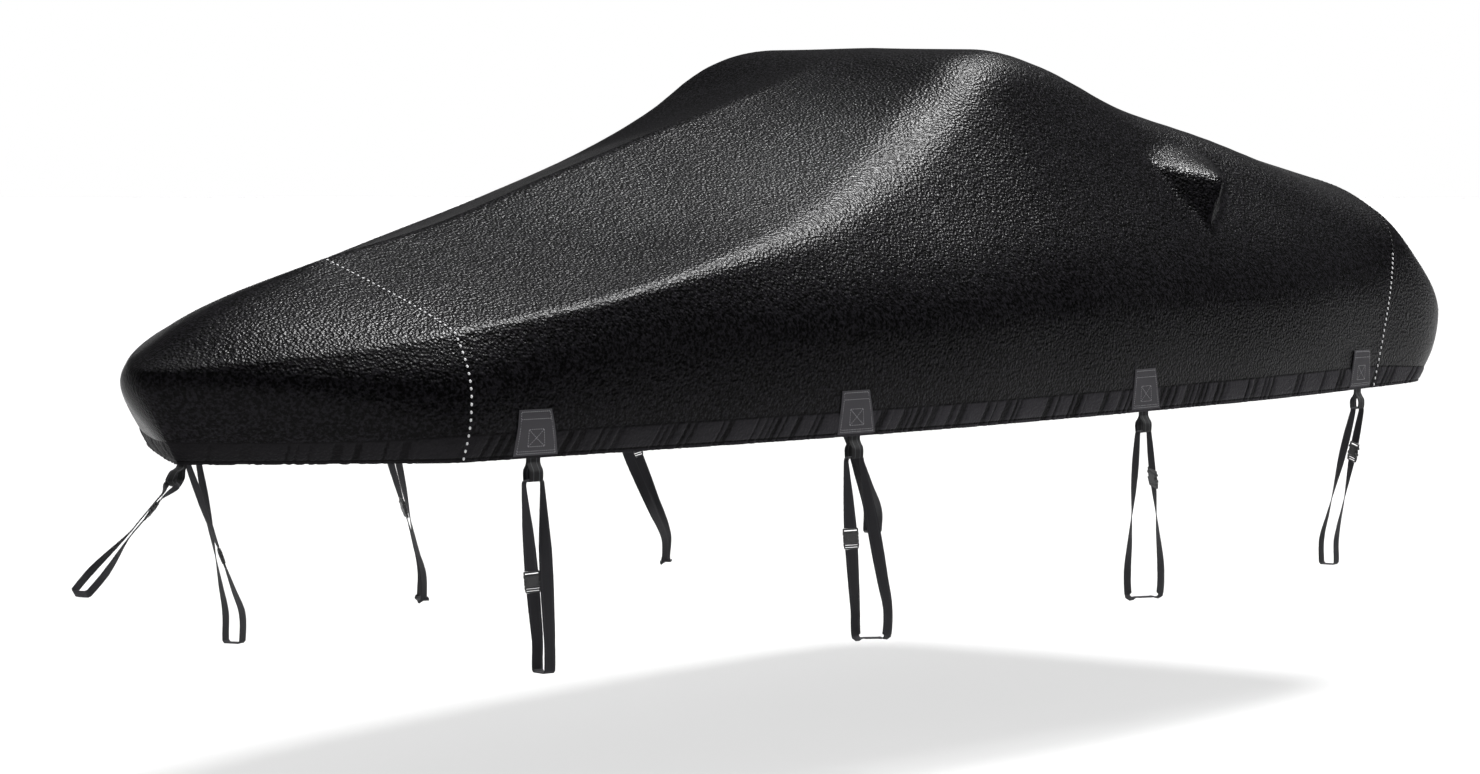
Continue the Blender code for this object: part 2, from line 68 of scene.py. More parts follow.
# Sections from the front seam to the stern seam. "lean" is how far a section shifts aft per metre up; it
# grows from nothing at the hem to its full value at LEAN_HEIGHT.
LEAN_HEIGHT = 0.55
Section = namedtuple(
    "Section",
    "aft lean hem_out wide_out wide_up gun_out gun_up ridge_out ridge_up deck_out deck_up top_up",
)
SECTIONS = [Section(*row) for row in (
    (0.62, 0.20, 0.545, 0.568, 0.10, 0.552, 0.22, 0.478, 0.330, 0.30, 0.405, 0.505),
    (1.10, 0.10, 0.660, 0.690, 0.12, 0.680, 0.27, 0.627, 0.402, 0.35, 0.480, 0.584),
    (1.60, 0.05, 0.775, 0.805, 0.14, 0.790, 0.32, 0.688, 0.498, 0.36, 0.588, 0.703),
    (2.10, 0.00, 0.870, 0.900, 0.15, 0.885, 0.35, 0.680, 0.610, 0.33, 0.722, 0.816),
    (2.50, 0.00, 0.925, 0.955, 0.16, 0.935, 0.37, 0.600, 0.752, 0.30, 0.836, 0.912),
    (2.85, 0.00, 0.960, 0.985, 0.17, 0.960, 0.38, 0.530, 0.920, 0.27, 0.966, 1.000),
    (3.05, 0.00, 0.980, 1.005, 0.17, 0.980, 0.38, 0.505, 1.033, 0.25, 1.050, 1.055),
    (3.25, 0.00, 0.995, 1.020, 0.17, 0.990, 0.38, 0.490, 1.073, 0.25, 1.076, 1.080),
    (3.50, 0.00, 1.010, 1.030, 0.17, 0.998, 0.385, 0.500, 1.034, 0.25, 1.050, 1.055),
    (3.85, 0.05, 1.030, 1.045, 0.17, 1.005, 0.39, 0.560, 0.892, 0.28, 0.940, 0.957),
    (4.25, 0.20, 1.030, 1.045, 0.16, 1.010, 0.38, 0.690, 0.753, 0.35, 0.828, 0.850),
    (4.64, 0.74, 1.017, 1.020, 0.14, 0.980, 0.34, 0.893, 0.514, 0.56, 0.672, 0.700),
)]

# The levels where the bow and the stern cross the centre plane, and how full each is in plan, towards
# the centre plane and towards the seam
End = namedtuple("End", "aft up full_centre full_seam")
STEM = [
    End(0.155, 0.000, 0.04, 0.06),
    End(0.052, 0.150, 0.18, 0.24),
    End(0.020, 0.205, 0.26, 0.30),
    End(0.036, 0.245, 0.30, 0.33),
    End(0.260, 0.385, 0.33, 0.35),
]
TRANSOM = [
    End(5.185, 0.000, 0.98, 1.06),
    End(5.350, 0.130, 0.98, 1.12),
    End(5.370, 0.230, 1.00, 1.24),
    End(5.280, 0.355, 0.72, 0.60),
    End(5.235, 0.550, 0.55, 0.50),
]

# The step off a seam's own station, onto the next panel
NEXT = 1e-9

# Tabs sewn over the hem, one at each side strap, and half the length of band that each holds flat
TAB_AFTS = (0.849, 1.955, 3.250, 4.530)
TAB_FOOT, TAB_BROW, TAB_RISE = 0.146, 0.105, 0.122
TAB_LEAN = 0.026
TAB_START = 0.008
TAB_HALF = 0.073

# Webbing loops sewn inside the hem: a flat double tail, then a loop that hangs open round its strap.
# Webbing is drawn a little thinner than its solid.
WEB = 0.0018
DRAWN = 0.94
LOOP_WIDTH, STEM_LOOP_WIDTH = 0.044, 0.032
LOOP_TAIL = 0.035
LOOP_SEAT_GAP = 0.0009
LOOP_DROP = 0.061
LOOP_HALF_OPEN = 0.0135
STEM_INSET = 0.0180
STEM_HANG = (-0.63, 0.0, -0.77)

# Straps: narrower where they pass through a loop, full width round the trailer's rail
STRAP = 0.0022
STRAP_NARROW, STRAP_WIDE = 0.018, 0.036
SIDE_OVER_LOOP = ((0.023, 0.0), (0.028, 0.003), (0.030, 0.012))
RAIL_TOP, RAIL_FOOT = -0.490, -0.572
RAIL_HALF = 0.026
SideStrap = namedtuple("SideStrap", "tab_aft rail_aft rail_out spread buckle_leg buckle_at")
SIDE_STRAPS = [
    SideStrap(TAB_AFTS[0], 0.955, 0.545, 0.000, -1, 0.62),
    SideStrap(TAB_AFTS[1], 2.080, 0.815, 0.038, -1, 0.52),
    SideStrap(TAB_AFTS[2], 3.410, 0.900, 0.050, 1, 0.32),
    SideStrap(TAB_AFTS[3], 4.583, 0.890, 0.000, 1, 0.32),
]
BuckleSize = namedtuple("BuckleSize", "width thickness latch socket")
SIDE_BUCKLE = BuckleSize(0.045, 0.011, 0.020, 0.042)
BOW_BUCKLE = BuckleSize(0.032, 0.009, 0.020, 0.042)

# The bow strap runs from the stem loop to the winch post and closes round it
BOW_WIDE = 0.022
BOW_FOOT = (-0.200, 0.0, -0.297)
POST_HALF, POST_DEPTH = 0.0265, 0.085
BOW_BUCKLE_FROM = 0.070
BOW_LEG_APART = 0.0036
BOW_OVER_LOOP = ((0.0165, 0.0), (0.019, 0.003), (0.020, 0.010))
LEGS_MEET, LEGS_PART = 0.050, 0.200
BOW_EDGE_ON = (0.41, 0.76, -0.51)

# How far apart the rows of a loop's and a strap's mesh are
LOOP_STEP, STRAP_STEP = 0.004, 0.008


def hermite(first, last, first_slope, last_slope, t):
    """The point at t of the cubic curve between two points with these slopes."""
    return (
        (2 * t**3 - 3 * t**2 + 1) * first + (t**3 - 2 * t**2 + t) * first_slope
        + (3 * t**2 - 2 * t**3) * last + (t**3 - t**2) * last_slope
    )


def spline(knots, values, at):
    """A smooth curve through the rows of values, and its slope, in cubic pieces."""
    slopes = np.gradient(values, knots, axis=0, edge_order=1)
    i = int(np.clip(np.searchsorted(knots, at) - 1, 0, len(knots) - 2))
    step = knots[i + 1] - knots[i]
    t = (at - knots[i]) / step
    point = hermite(values[i], values[i + 1], step * slopes[i], step * slopes[i + 1], t)
    slope = (
        (6 * t**2 - 6 * t) * (values[i] - values[i + 1]) / step
        + (3 * t**2 - 4 * t + 1) * slopes[i]
        + (3 * t**2 - 2 * t) * slopes[i + 1]
    )
    return point, slope


def bezier(points, t):
    """The point at t of the Bezier curve with these control points."""
    points = np.asarray(points, float)
    while len(points) > 1:
        points = points[:-1] * (1 - t) + points[1:] * t
    return points[0]


def section_levels(section):
    """The six control points of one section, as aft, out and up."""
    from_wide_to_deck = zip(section[3:11:2], section[4:11:2])
    levels = []
    for out, up in ((section.hem_out, 0.0), *from_wide_to_deck, (0.0, section.top_up)):
        lean = section.lean * math.sqrt(min(1.0, up / LEAN_HEIGHT))
        levels.append((section.aft + lean * up, out, up))
    return levels


KNOTS = np.array([section.aft for section in SECTIONS])
NET = np.array([section_levels(section) for section in SECTIONS])


def main_levels(aft):
    return spline(KNOTS, NET, aft)


def end_levels(seam, slope, ends, t):
    """Control points between a seam (t = 0) and the centre plane (t = 1), round the bow or the stern."""
    levels = []
    for start, direction, end in zip(seam, slope, ends):
        direction = direction / norm(direction)
        centre = np.array((end.aft, 0.0, end.up))
        along = direction * abs(end.aft - start[0]) * end.full_seam
        across = np.array((0.0, start[1] * end.full_centre, 0.0))
        levels.append(bezier((start, start + along, centre + across, centre), t))
    levels.append(seam[TOP])
    return np.array(levels)


def levels_at(station):
    """Control points at a station: 0 is the stem, 1 the front seam, 2 the stern seam, 3 the transom."""
    if station < 1:
        seam, slope = main_levels(KNOTS[0] - BOW_SEAM_GAP / 2)
        return end_levels(seam, -slope, STEM, 1 - station)
    if station <= 2:
        first, last = KNOTS[0] + BOW_SEAM_GAP / 2, KNOTS[-1] - STERN_SEAM_GAP / 2
        return main_levels(first + (last - first) * (station - 1))[0]
    seam, slope = main_levels(KNOTS[-1] + STERN_SEAM_GAP / 2)
    return end_levels(seam, slope, TRANSOM, station - 2)


def column_at(station, steps=8):
    """The line of the cloth from the hem up to the centre line: the levels joined, with round bends."""
    levels = levels_at(station)
    points = [levels[HEM]]
    for i in range(WIDE, TOP):
        reach = BEND_REACH[i] if i != RIDGE else np.interp(station, CREASE_STATIONS, CREASE_REACHES)
        before = levels[i - 1] - levels[i]
        after = levels[i + 1] - levels[i]
        enter = levels[i] + before * min(0.5, reach / norm(before))
        leave = levels[i] + after * min(0.5, reach / norm(after))
        points += [bezier((enter, levels[i], leave), t) for t in np.linspace(0, 1, steps)]
    points.append(levels[TOP])
    points = np.array(points)
    apart = norm(np.diff(points, axis=0), axis=1) > 1e-7
    return points[np.concatenate(([True], apart))]


def lengths_along(points):
    return np.concatenate(([0.0], np.cumsum(norm(np.diff(points, axis=0), axis=1))))


def pick(points, measure, wanted):
    """Points of a line where its measure takes the wanted values."""
    return np.stack([np.interp(wanted, measure, points[:, axis]) for axis in range(3)], axis=1)


def unit(vector):
    return vector / norm(vector)


def surface_frame(station, climb):
    """A point of the outer face, the directions aft along the cloth and up it, and the outward normal."""
    small = 0.004
    columns = [column_at(station + shift) for shift in (0.0, -small, small)]
    point, before, after = (pick(column, lengths_along(column), [climb])[0] for column in columns)
    above = unit(pick(columns[0], lengths_along(columns[0]), [climb + small])[0] - point)
    ahead = unit(after - before)
    return point, ahead, above, unit(np.cross(above, ahead))


STATIONS = np.linspace(0.0, 3.0, 601)
HEM_LENGTHS = lengths_along(np.array([levels_at(station)[HEM] for station in STATIONS]))


def station_at(length):
    """The station whose hem point lies this far along the hem from the stem."""
    return float(np.interp(length, HEM_LENGTHS, STATIONS))


def station_at_aft(aft):
    """The station of the main panel whose hem point lies this far behind the bow tip."""
    return 1 + (aft - KNOTS[0]) / (KNOTS[-1] - KNOTS[0])


def hem_length(station):
    return float(np.interp(station, STATIONS, HEM_LENGTHS))


def world(point, side=-1):
    """Hull measures to Blender axes: side -1 is port and 1 is starboard."""
    return Vector((point[0] - HELD_AFT, side * point[1], point[2] - HELD_UP))


def turned(vector, side=-1):
    """A direction in hull measures to Blender axes."""
    return Vector((vector[0], side * vector[1], vector[2]))


def with_settings(thing, **settings):
    for key, value in settings.items():
        setattr(thing, key, value)
    return thing


def add_object(name, data):
    thing = bpy.data.objects.new(name, data)
    bpy.context.scene.collection.objects.link(thing)
    return thing


def mesh_of(shell, name):
    mesh = bpy.data.meshes.new(name)
    shell.to_mesh(mesh)
    shell.free()
    return mesh


def skin(shell, columns, flip):
    """Joins a grid of the shell's vertices, columns by rows, with smooth faces."""
    for left, right in zip(columns, columns[1:]):
        for corners in zip(left, right, right[1:], left[1:]):
            shell.faces.new(corners[::-1] if flip else corners).smooth = True


def make_piece(name, mesh, finish, node=None):
    mesh.materials.append(finish)
    piece = add_object(name, mesh)
    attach(piece, "root")
    if node:
        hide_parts(node)
    return piece


def thicken(piece, thickness, offset, edge=0.0):
    """Gives a flat piece its thickness and rounds its edges, and keeps its sharp turns crisp."""
    with_settings(piece.modifiers.new("Thickness", "SOLIDIFY"), thickness=thickness, offset=offset)
    if edge:
        bevel = piece.modifiers.new("Turned edge", "BEVEL")
        with_settings(bevel, width=edge, segments=2, limit_method="ANGLE", angle_limit=math.radians(50))
    graph = bpy.context.evaluated_depsgraph_get()
    mesh = bpy.data.meshes.new_from_object(piece.evaluated_get(graph))
    mesh.set_sharp_from_angle(angle=math.radians(35 if edge else 50))
    plain = piece.data
    piece.modifiers.clear()
    piece.data = mesh
    bpy.data.meshes.remove(plain)


# ---- the cloth

# A panel is a body, and a hem band that comes out from behind the body's foot. Columns are spaced along
# the hem, closer round the nose and the cleat's tent, and rows climb the cloth.
SHEET = 0.0018
BODY_FOOT = 0.0735
BODY_LINES = 58
BEND_WEIGHT = 0.1
BODY_COLUMN, TENT_COLUMN, BAND_COLUMN = 0.028, 0.013, 0.0037
TENT_AFTS = (3.62, 4.22)
NOSE_STEPS = ((0.05, 0.004), (0.12, 0.008), (0.25, 0.016))
BAND_ROWS = (0.0, 0.003, 0.0068, 0.0085, 0.0115, 0.0135, 0.022, 0.034, 0.046, 0.058, 0.066, 0.07, 0.078)

# The band lies behind the body's face, less so low down, with a sewn groove near its foot
BAND_BACK, BACK_CLIMBS, BACK_SHARES = 0.003, (0.055, 0.07), (0.25, 1.0)
GROOVE_AT, GROOVE_HALF, GROOVE_DEPTH = 0.01, 0.0016, 0.0012

# The gathers swell most in mid band, ease off at the centre plane, and lie flat under a tab
SWELL_CLIMBS = (0.003, 0.0068, 0.0099, 0.01, 0.022, 0.055, 0.071, 0.079)
SWELLS = (0.75, 0.55, 0.55, 0.45, 1.0, 0.95, 0.35, 0.0)
CENTRE_EASE = 0.03
TAB_EASE, TAB_SWELL = 0.02, 0.12

# The band gets painted shade in its groove, a painted shadow under the body's foot, and painted shade toward
# the bow
GROOVE_SHADE, UNDER_SHADE, UNDER_CLIMB = 0.95, 0.9, 0.068
BOW_SHADE_LENGTHS, PAINTED_BOW_SHADES = (0.0, 1.1, 2.4), (0.8, 0.55, 0.0)

# Widths of its plain lengths, tucks with painted shade, and folds, and the range of their heights or painted
# shades. All lean aft.
PLAIN_WIDTHS, PLAIN_HEIGHTS = (0.03, 0.045, 0.07, 0.11), (0.0022, 0.004)
TUCK_WIDTHS, TUCK_SHADES = (0.007, 0.009, 0.012, 0.018, 0.026), (0.7, 1.0)
FOLD_WIDTHS, FOLD_HEIGHTS = (0.009, 0.012, 0.016, 0.022), (0.0028, 0.005)
TUCKS_TOGETHER = (1, 2, 2, 3, 5)
UNEVEN = (0.8, 1.2)
FOLD_LEAN = 0.45
FOLD_SHOULDER, FOLD_EDGE = 0.007, 0.0025
Fold = namedtuple("Fold", "start end height dark")


def folds_along(length, side, seed):
    """The gathers of one length of hem: plain lengths between uneven groups of tucks that get painted shade.
    """
    draw = random.Random(seed * 7 + (side > 0))
    folds = []

    def add(widths, heights=None, shades=None):
        start = folds[-1].end if folds else 0.0
        width = draw.choice(widths) * draw.uniform(*UNEVEN)
        height = draw.uniform(*heights) if heights else 0.0
        dark = draw.uniform(*shades) if shades else 0.0
        draw.random()  # a spare draw, which keeps the later ones in order
        folds.append(Fold(start, start + width, height, dark))

    while not folds or folds[-1].end < length:
        add(PLAIN_WIDTHS, heights=PLAIN_HEIGHTS)
        for _ in range(draw.choice(TUCKS_TOGETHER)):
            add(TUCK_WIDTHS, shades=TUCK_SHADES)
            add(FOLD_WIDTHS, heights=FOLD_HEIGHTS)
    return folds


def fold_relief(folds, starts, length, climb):
    """How far the band stands out at this place, and its painted shade (0 on a fold's middle, up to 0.5 at
    its edges, 1 in a tuck).
    """
    shifted = length - FOLD_LEAN * climb
    fold = folds[max(0, np.searchsorted(starts, shifted) - 1)]
    width = fold.end - fold.start
    share = min(1.0, max(0.0, (shifted - fold.start) / width))
    inward = min(share, 1 - share)
    if fold.dark:
        return 0.0, fold.dark * min(1.0, 7.0 * inward + 0.25)
    hump = min(1.0, inward * width / FOLD_SHOULDER) ** 0.5
    return fold.height * hump, 0.5 * (1.0 - min(1.0, inward * width / FOLD_EDGE))


def openness(length):
    """1 where the band is free to swell, and little where a tab or loop holds it flat."""
    nearest = min(abs(length - hem_length(station_at_aft(aft))) for aft in TAB_AFTS)
    return np.clip((nearest - TAB_HALF + TAB_EASE / 2) / TAB_EASE, TAB_SWELL, 1.0)


def band_relief(lengths, side, seed):
    """How far the band stands out, by columns and rows, and how dark its painted shade lies there."""
    folds = folds_along(lengths[-1] - lengths[0], side, seed)
    starts = [fold.start for fold in folds]
    relief = np.zeros((len(lengths), len(BAND_ROWS)))
    shades = np.zeros(relief.shape)
    for i, length in enumerate(lengths):
        centre = min(1.0, length / CENTRE_EASE, (HEM_LENGTHS[-1] - length) / CENTRE_EASE)
        free = openness(length) * centre
        painted_bow_shade = np.interp(length, BOW_SHADE_LENGTHS, PAINTED_BOW_SHADES)
        for j, climb in enumerate(BAND_ROWS):
            height, crease = fold_relief(folds, starts, length - lengths[0], climb)
            swell = np.interp(climb, SWELL_CLIMBS, SWELLS) * free
            back = BAND_BACK * np.interp(climb, BACK_CLIMBS, BACK_SHARES) * centre
            sewn = abs(climb - GROOVE_AT) < GROOVE_HALF
            relief[i, j] = height * swell - back - GROOVE_DEPTH * sewn
            # Painted shade: in the tucks (crease, deeper where the band swells), toward the bow, in the sewn
            # groove and under the body's foot
            tuck = crease * min(1.0, 1.6 * swell)
            shades[i, j] = max(tuck, painted_bow_shade, GROOVE_SHADE * sewn, UNDER_SHADE * (climb > UNDER_CLIMB))
    return relief, shades


# Where a cleat lifts the cloth, by aft and up: flat facets run from its raised peak to these corners
TENT_PEAK = (3.93, 0.655)
TENT_RAISED = np.array((-0.02, 0.112, 0.024))
TENT_CORNERS = (
    (3.731, 0.729), (3.87, 0.765), (3.98, 0.775), (4.12, 0.745),
    (4.142, 0.693), (3.96, 0.585), (3.8, 0.524),
)


def tent_lift(point):
    """How far the cloth stands out, from 1 at the tent's peak evenly to 0 at its corners."""
    here = np.array((point[0], point[2])) - TENT_PEAK
    for first, second in zip(TENT_CORNERS, TENT_CORNERS[1:] + TENT_CORNERS[:1]):
        edges = (np.array((first, second)) - TENT_PEAK).T
        shares = np.linalg.solve(edges, here)
        if shares.min() >= 0 and shares.sum() <= 1:
            return 1 - shares.sum()
    return 0.0


RIPPLE_HEIGHT = 0.003
RIPPLES_PER_METRE = (1.1, 1.6, 1.6)


def ripple(point):
    """The slight unevenness of cloth over hard edges and slack places, in metres."""
    place = Vector([value * scale for value, scale in zip(point, RIPPLES_PER_METRE)])
    return RIPPLE_HEIGHT * (noise.noise(place) + 0.5 * noise.noise(place * 2.3))


def grid_normals(points):
    """Outward normals of a grid of points, columns by rows."""
    along = np.gradient(points, axis=0)
    up = np.gradient(points, axis=1)
    normals = np.cross(up, along)
    lengths = norm(normals, axis=2, keepdims=True)
    lengths[lengths < 1e-12] = 1.0
    return normals / lengths


def spaced_stations(first, last, step, tent_step=None):
    """Stations about a step apart along the hem, closer round the nose and the tent, and their lengths."""
    lengths = [hem_length(first)]
    end = hem_length(last)
    tent_start, tent_end = (hem_length(station_at_aft(aft)) for aft in TENT_AFTS)
    while lengths[-1] < end - step * 0.4:
        here = tent_step if tent_step and tent_start < lengths[-1] < tent_end else step
        here = min([here] + [fine for reach, fine in NOSE_STEPS if lengths[-1] < reach])
        lengths.append(lengths[-1] + here)
    lengths = np.array(lengths)
    lengths = lengths[0] + (lengths - lengths[0]) * (end - lengths[0]) / (lengths[-1] - lengths[0])
    stations = [station_at(length) for length in lengths]
    stations[0], stations[-1] = first, last
    return stations, lengths


def body_lines(column):
    """Rows of the body from the band to the centre line, closer together where it bends."""
    lengths = lengths_along(column)
    along = np.diff(column, axis=0)
    along /= norm(along, axis=1)[:, None]
    turns = np.arccos(np.clip((along[:-1] * along[1:]).sum(axis=1), -1, 1))
    turned_by = np.concatenate(([0.0, 0.0], np.cumsum(turns)))
    measure = lengths + BEND_WEIGHT * turned_by
    first = np.interp(BODY_FOOT, lengths, measure)
    return pick(column, measure, np.linspace(first, measure[-1], BODY_LINES))


def lay(shell, points, shades, side, in_band):
    """Adds a grid of points, columns by rows, to one side of a panel, with their painted shades."""
    painted_shade_layer = shell.verts.layers.float["Painted_shade"]
    band_layer = shell.verts.layers.float["Band"]
    columns = []
    for column, column_shades in zip(points, shades):
        columns.append([shell.verts.new(world(point, side)) for point in column])
        for vert, shade in zip(columns[-1], column_shades):
            vert[painted_shade_layer], vert[band_layer] = shade, in_band
    skin(shell, columns, side > 0)


def panel(name, node, first, last, seed, finish):
    """One panel: its body and its shirred hem band."""
    stations, _ = spaced_stations(first, last, BODY_COLUMN, TENT_COLUMN)
    body = np.array([body_lines(column_at(station)) for station in stations])
    normals = grid_normals(body)
    normals[:, -1] = (0, 0, 1)
    lift = np.array([[tent_lift(point) for point in column] for column in body])
    body = body + lift[..., None] * TENT_RAISED
    fine_stations, lengths = spaced_stations(first, last, BAND_COLUMN)
    columns = [column_at(station, 3) for station in fine_stations]
    band = np.array([pick(column, lengths_along(column), BAND_ROWS) for column in columns])
    band_normals = grid_normals(band)
    shell = bmesh.new()
    for layer in ("Painted_shade", "Band"):
        shell.verts.layers.float.new(layer)
    for side in (-1, 1):
        bumps = np.array([[ripple(world(point, side)) for point in column] for column in body])
        lay(shell, body + normals * bumps[..., None], np.zeros(body.shape[:2]), side, 0.0)
        relief, shades = band_relief(lengths, side, seed)
        lay(shell, band + band_normals * relief[..., None], shades, side, 1.0)
    on_centre = [vert for vert in shell.verts if abs(vert.co.y) < 1e-5]
    bmesh.ops.remove_doubles(shell, verts=on_centre, dist=1e-5)
    piece = make_piece(name, mesh_of(shell, name), finish, node)
    thicken(piece, SHEET, -1)


# ---- stitches, tabs, webbing and buckles

# Sizes of a stitch along, across and out of its seam, and how far apart stitches are
FRONT_STITCH, FRONT_STEP = (0.0092, 0.0076, 0.0034), 0.02
STERN_STITCH, STERN_STEP = (0.0098, 0.0084, 0.0034), 0.021
DARK_STITCH = (0.0104, 0.0064, 0.0024)
TAB_STITCH, TAB_STEP = (0.0048, 0.0022, 0.0013), 0.0062
SEAM_STITCH_LIFT, TAB_STITCH_LIFT = 0.0004, 0.0028 + GAP

# How far beside its seam a row of stitches runs, and the level up to which the stern seam's are white
BESIDE_SEAM = 0.0012
STITCHES_TOP = -0.66

# A tab's grid, its swell from its edge inward, and its lines of stitches, by shares across and up
TAB_CELLS_ACROSS, TAB_CELLS_UP = 14, 12
TAB_SWELLS = (0.0, 0.0009, 0.0004, 0.0006)
TAB_PUCKER = 0.0007
TAB_LINES = (
    ((-0.44, 0.04), (-0.43, 0.955)), ((-0.43, 0.955), (0.43, 0.955)), ((0.43, 0.955), (0.44, 0.04)),
    ((-0.44, 0.05), (0.44, 0.05)), ((-0.43, 0.8), (0.43, 0.8)), ((-0.44, 0.1), (0.44, 0.1)),
    ((-0.2, 0.2), (0.2, 0.2)), ((-0.2, 0.58), (0.2, 0.58)), ((-0.2, 0.2), (-0.2, 0.58)),
    ((0.2, 0.2), (0.2, 0.58)), ((-0.2, 0.2), (0.2, 0.58)), ((0.2, 0.2), (-0.2, 0.58)),
)


def surface_point(station, climb, lift, side):
    """A place on the cloth, with the directions along the hem, up the cloth and out of it."""
    point, ahead, above, normal = surface_frame(station, climb)
    square = unit(np.cross(ahead, normal))
    above = square if np.dot(square, above) > 0 else -square
    return world(point + normal * lift, side), turned(ahead, side), turned(above, side), turned(normal, side)


def beads(name, places, size, finish):
    """Many small stitches as one mesh; a place is a centre and the directions along, across and out."""
    source = bmesh.new()
    bmesh.ops.create_uvsphere(source, u_segments=8, v_segments=5, radius=0.5)
    source.verts.ensure_lookup_table()
    points = [[value * scale for value, scale in zip(vert.co, size)] for vert in source.verts]
    faces = [[vert.index for vert in face.verts] for face in source.faces]
    source.free()
    all_points, all_faces = [], []
    for centre, along, across, out in places:
        start = len(all_points)
        all_points += [centre + along * x + across * y + out * z for x, y, z in points]
        all_faces += [[start + index for index in face] for face in faces]
    mesh = bpy.data.meshes.new(name)
    mesh.from_pydata(all_points, [], all_faces)
    mesh.shade_smooth()
    make_piece(name, mesh, finish)


def seam_places(station, step):
    """Stitches up one seam, port and starboard, clear of the centre line."""
    full_length = lengths_along(column_at(station))[-1]
    count = int(round(full_length / step))
    places = []
    for side in (-1, 1):
        for i in range(count):
            climb = min((i + 0.5) * full_length / count, full_length - 0.006)
            point, ahead, above, normal = surface_point(station, climb, SEAM_STITCH_LIFT, side)
            places.append((point, above, ahead, normal))
    return places


def tab_place(aft, side, across, rise, lift):
    """A place on a tab: across from -0.5 to 0.5 of its width there, rise from 0 to 1."""
    width = TAB_FOOT + (TAB_BROW - TAB_FOOT) * rise
    length = hem_length(station_at_aft(aft)) + width * across - TAB_LEAN * rise
    return surface_point(station_at(length), TAB_START + TAB_RISE * rise, lift, side)


def tab_stitches(aft, side):
    """The places of a tab's stitches: its edges, lines across it, and a box with a cross."""
    places = []
    for start, end in TAB_LINES:
        along = tab_place(aft, side, *end, 0.0)[0] - tab_place(aft, side, *start, 0.0)[0]
        count = max(2, int(along.length / TAB_STEP))
        along.normalize()
        for i in range(count):
            across, rise = Vector(start).lerp(end, (i + 0.5) / count)
            point, _, _, normal = tab_place(aft, side, across, rise, TAB_STITCH_LIFT)
            way = (along - normal * along.dot(normal)).normalized()
            places.append((point, way, normal.cross(way), normal))
    return places


def tab(name, node, aft, side, finish, thread):
    """A tab: a trapezoid patch over the hem, with turned edges, and its stitches."""
    shell = bmesh.new()
    columns = []
    for i in range(TAB_CELLS_ACROSS + 1):
        columns.append([])
        for j in range(TAB_CELLS_UP + 1):
            across, rise = i / TAB_CELLS_ACROSS - 0.5, j / TAB_CELLS_UP
            point, _, _, normal = tab_place(aft, side, across, rise, GAP * 1.5)
            edge = min(i, TAB_CELLS_ACROSS - i, j, TAB_CELLS_UP - j, len(TAB_SWELLS) - 1)
            pucker = TAB_PUCKER * math.sin(2.1 * i + 1.3 * j + aft * 9) * (edge > 0)
            lift = TAB_SWELLS[edge] + max(0.0, pucker)
            columns[-1].append(shell.verts.new(point + normal * lift))
    skin(shell, columns, side > 0)
    piece = make_piece(name, mesh_of(shell, name), finish, node)
    thicken(piece, SHEET, 1, edge=0.0006)
    beads(name + "_stitching", tab_stitches(aft, side), TAB_STITCH, thread)


Stop = namedtuple("Stop", "centre across width")


def smooth_stops(stops, step):
    """More stops on a smooth curve through the given ones."""
    centres = np.array([tuple(stop.centre) for stop in stops])
    dense = []
    for i, (here, there) in enumerate(zip(stops, stops[1:])):
        span = norm(centres[i + 1] - centres[i])
        count = max(1, int(math.ceil(span / step)))
        before, after = centres[max(i - 1, 0)], centres[min(i + 2, len(stops) - 1)]
        reach_in = span / max(span, norm(centres[i + 1] - before))
        reach_out = span / max(span, norm(after - centres[i]))
        start_slope = (centres[i + 1] - before) * reach_in
        end_slope = (after - centres[i]) * reach_out
        for t in np.arange(count) / count:
            point = hermite(centres[i], centres[i + 1], start_slope, end_slope, t)
            across = here.across.lerp(there.across, t).normalized()
            dense.append(Stop(Vector(point), across, here.width * (1 - t) + there.width * t))
    dense.append(stops[-1])
    return dense


def ribbon(name, node, stops, thickness, step, finish):
    """Webbing laid along a smooth curve through its stops."""
    dense = smooth_stops(stops, step)
    shell = bmesh.new()
    for layer in ("Across", "Along"):
        shell.verts.layers.float.new(layer)
    across_layer, along_layer = shell.verts.layers.float["Across"], shell.verts.layers.float["Along"]
    rows = []
    run = 0.0
    for i, stop in enumerate(dense):
        ahead = (dense[min(i + 1, len(dense) - 1)].centre - dense[max(i - 1, 0)].centre).normalized()
        across = (stop.across - ahead * stop.across.dot(ahead)).normalized()
        if i:
            run += (stop.centre - dense[i - 1].centre).length
        rows.append([])
        for share in (-0.5, -0.25, 0.0, 0.25, 0.5):
            vert = shell.verts.new(stop.centre + across * (share * stop.width))
            vert[across_layer], vert[along_layer] = share * stop.width, run
            rows[-1].append(vert)
    skin(shell, rows, True)
    piece = make_piece(name, mesh_of(shell, name), finish, node)
    thicken(piece, thickness, 0, edge=thickness * 0.3)


def leg(upper, lower, shares):
    """Stops on the straight run between two stops, turning and widening evenly."""
    return [
        Stop(
            upper.centre.lerp(lower.centre, share),
            upper.across.lerp(lower.across, share).normalized(),
            upper.width + (lower.width - upper.width) * min(1.0, share * 3),
        )
        for share in shares
    ]


Hang = namedtuple("Hang", "origin along rise down")


def side_hang(station, side):
    """Where a side loop leaves the hem, and the directions along the hem, up and down."""
    point, ahead, above, normal = surface_frame(station, 0.0)
    inward = turned(normal, side) * -(CLOTH + LOOP_SEAT_GAP + WEB + GAP / 2)
    along = turned(unit(np.array((ahead[0], ahead[1], 0.0))), side)
    return Hang(world(point, side) + inward, along, turned(above, side), Vector((0, 0, -1)))


def stem_hang():
    """Where the stem loop leaves the hem, a little behind the fold of the bow."""
    column = column_at(0.0)
    point, above = pick(column, lengths_along(column), (0.0, LOOP_TAIL))
    origin = world(point) + Vector((STEM_INSET, 0, 0))
    return Hang(origin, Vector((0, 1, 0)), turned(unit(above - point)), Vector(STEM_HANG).normalized())


